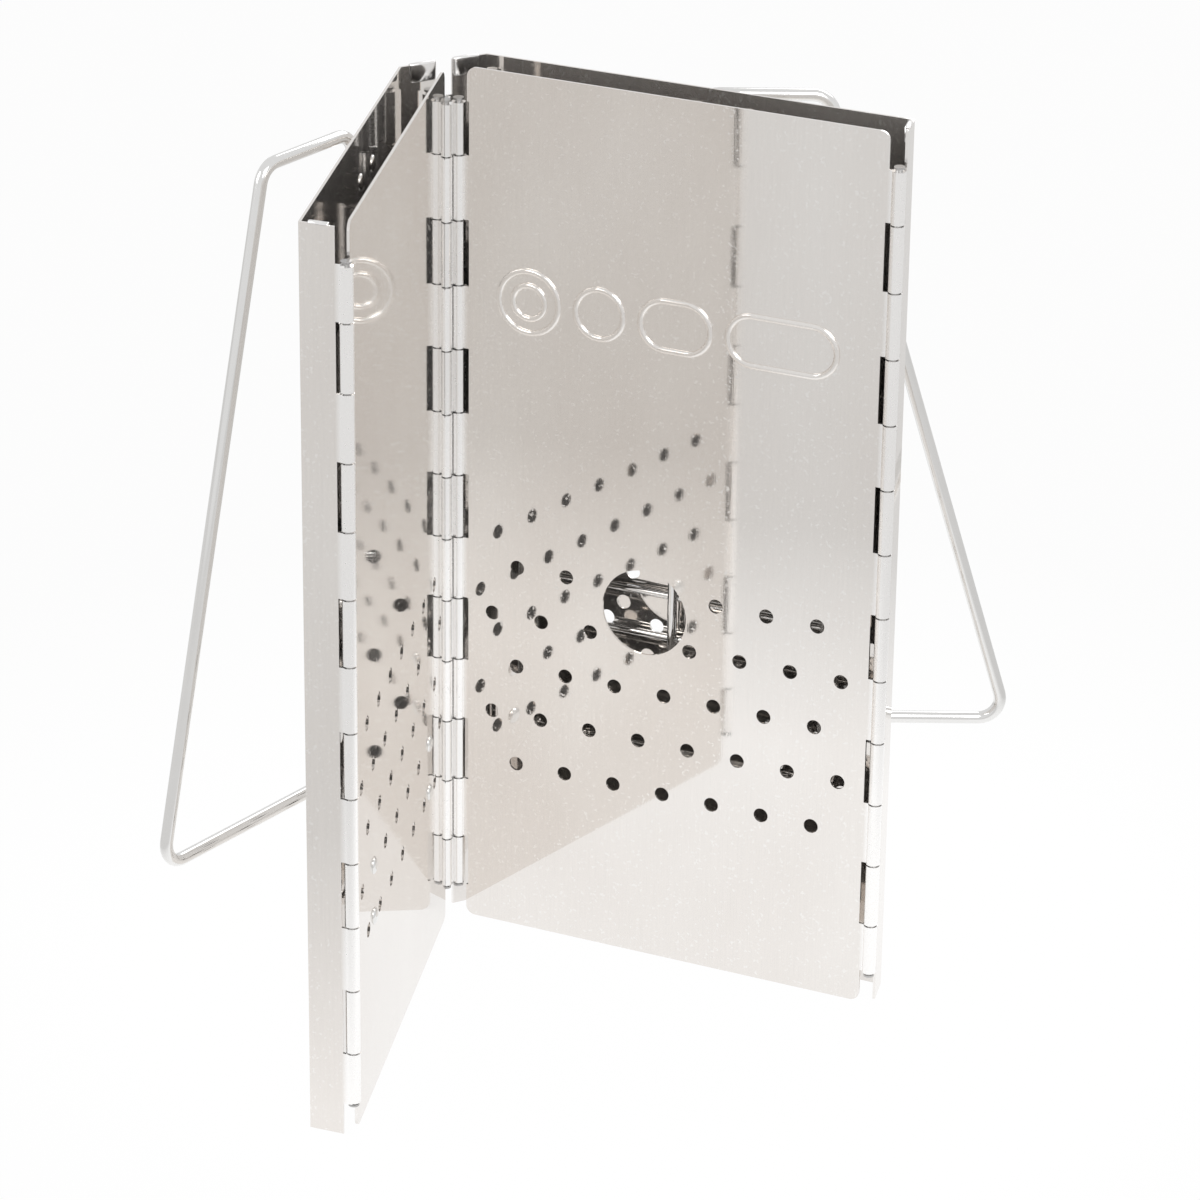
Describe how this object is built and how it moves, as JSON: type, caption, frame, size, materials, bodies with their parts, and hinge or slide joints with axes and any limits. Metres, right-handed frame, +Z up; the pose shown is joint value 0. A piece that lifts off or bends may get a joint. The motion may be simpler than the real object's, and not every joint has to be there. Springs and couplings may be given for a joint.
{
  "type": "chimney charcoal starter",
  "caption": "Collapsible square chimney charcoal starter: hinged perforated sheet panels, channel backs, fold-out wire handles and a wire grate, shown half open.",
  "frame": {"origin": "middle of the right front panel's bottom edge, at mid-thickness", "axes": "+Z up along the hinges, +X along the right front panel towards its outer edge, -Y towards the front of the right front panel"},
  "size_m": [0.1882, 0.2049, 0.28],
  "materials": {
    "stainless_sheet": "brushed",
    "bright_wire": "polished"
  },
  "bodies": {
    "right_panel": {"right_front_panel": "stainless_sheet", "right_link_pin": "bright_wire", "right_outer_pin": "bright_wire"},
    "links": {"corner_links": "stainless_sheet"},
    "left_panel": {"left_front_panel": "stainless_sheet", "left_link_pin": "bright_wire", "left_outer_pin": "bright_wire", "grate_rest_brackets": "stainless_sheet", "grate_rest_rivets": "bright_wire"},
    "left_back": {"left_back_shell": "stainless_sheet", "left_handle_clips": "stainless_sheet", "left_clip_rivets": "bright_wire"},
    "left_handle": {"left_handle": "bright_wire"},
    "right_back": {"right_back_shell": "stainless_sheet", "rear_spine_pin": "bright_wire", "right_handle_clips": "stainless_sheet", "right_clip_rivets": "bright_wire", "grate_hinge_clips": "stainless_sheet", "grate_clip_rivets": "bright_wire"},
    "right_handle": {"right_handle": "bright_wire"},
    "grate": {"grate_frame": "bright_wire", "grate_cross_wires": "bright_wire", "grate_centre_rib": "bright_wire"}
  },
  "joints": [
    {"name": "tube_open", "type": "hinge", "parent": "right_panel", "child": "links", "pos_m": [-0.0696, 0, 0], "axis": [0, 0, -1], "range_deg": [0, 193.69]},
    {"name": "book_fold", "type": "hinge", "parent": "links", "child": "left_panel", "pos_m": [-0.07228, -0.00349, 0], "axis": [0, 0, -1], "range_deg": [-75, 0]},
    {"name": "left_back_swing", "type": "hinge", "parent": "left_panel", "child": "left_back", "pos_m": [-0.03625, -0.13795, 0], "axis": [0, 0, 1], "range_deg": [0, 89.3]},
    {"name": "right_back_swing", "type": "hinge", "parent": "right_panel", "child": "right_back", "pos_m": [0.0696, 0, 0], "axis": [0, 0, -1], "range_deg": [0, 91.8]},
    {"name": "right_handle_fold", "type": "hinge", "parent": "right_back", "child": "right_handle", "pos_m": [-0.0002, 0.0165, 0.175], "axis": [0, 0, 1], "range_deg": [-24.5, 65.5]},
    {"name": "left_handle_fold", "type": "hinge", "parent": "left_back", "child": "left_handle", "pos_m": [-0.0745, -0.05896, 0.175], "axis": [0, 0, -1], "range_deg": [-28.3, 61.7]},
    {"name": "grate_fold", "type": "hinge", "parent": "right_back", "child": "grate", "pos_m": [-0.0016, 0.0084, 0.062], "axis": [1, 0, 0], "range_deg": [0, 3]}
  ],
  "couplings": [
    {"joint": "left_back_swing", "follows": "tube_open", "ratio": 0.46051},
    {"joint": "right_back_swing", "follows": "tube_open", "ratio": 0.47352}
  ]
}
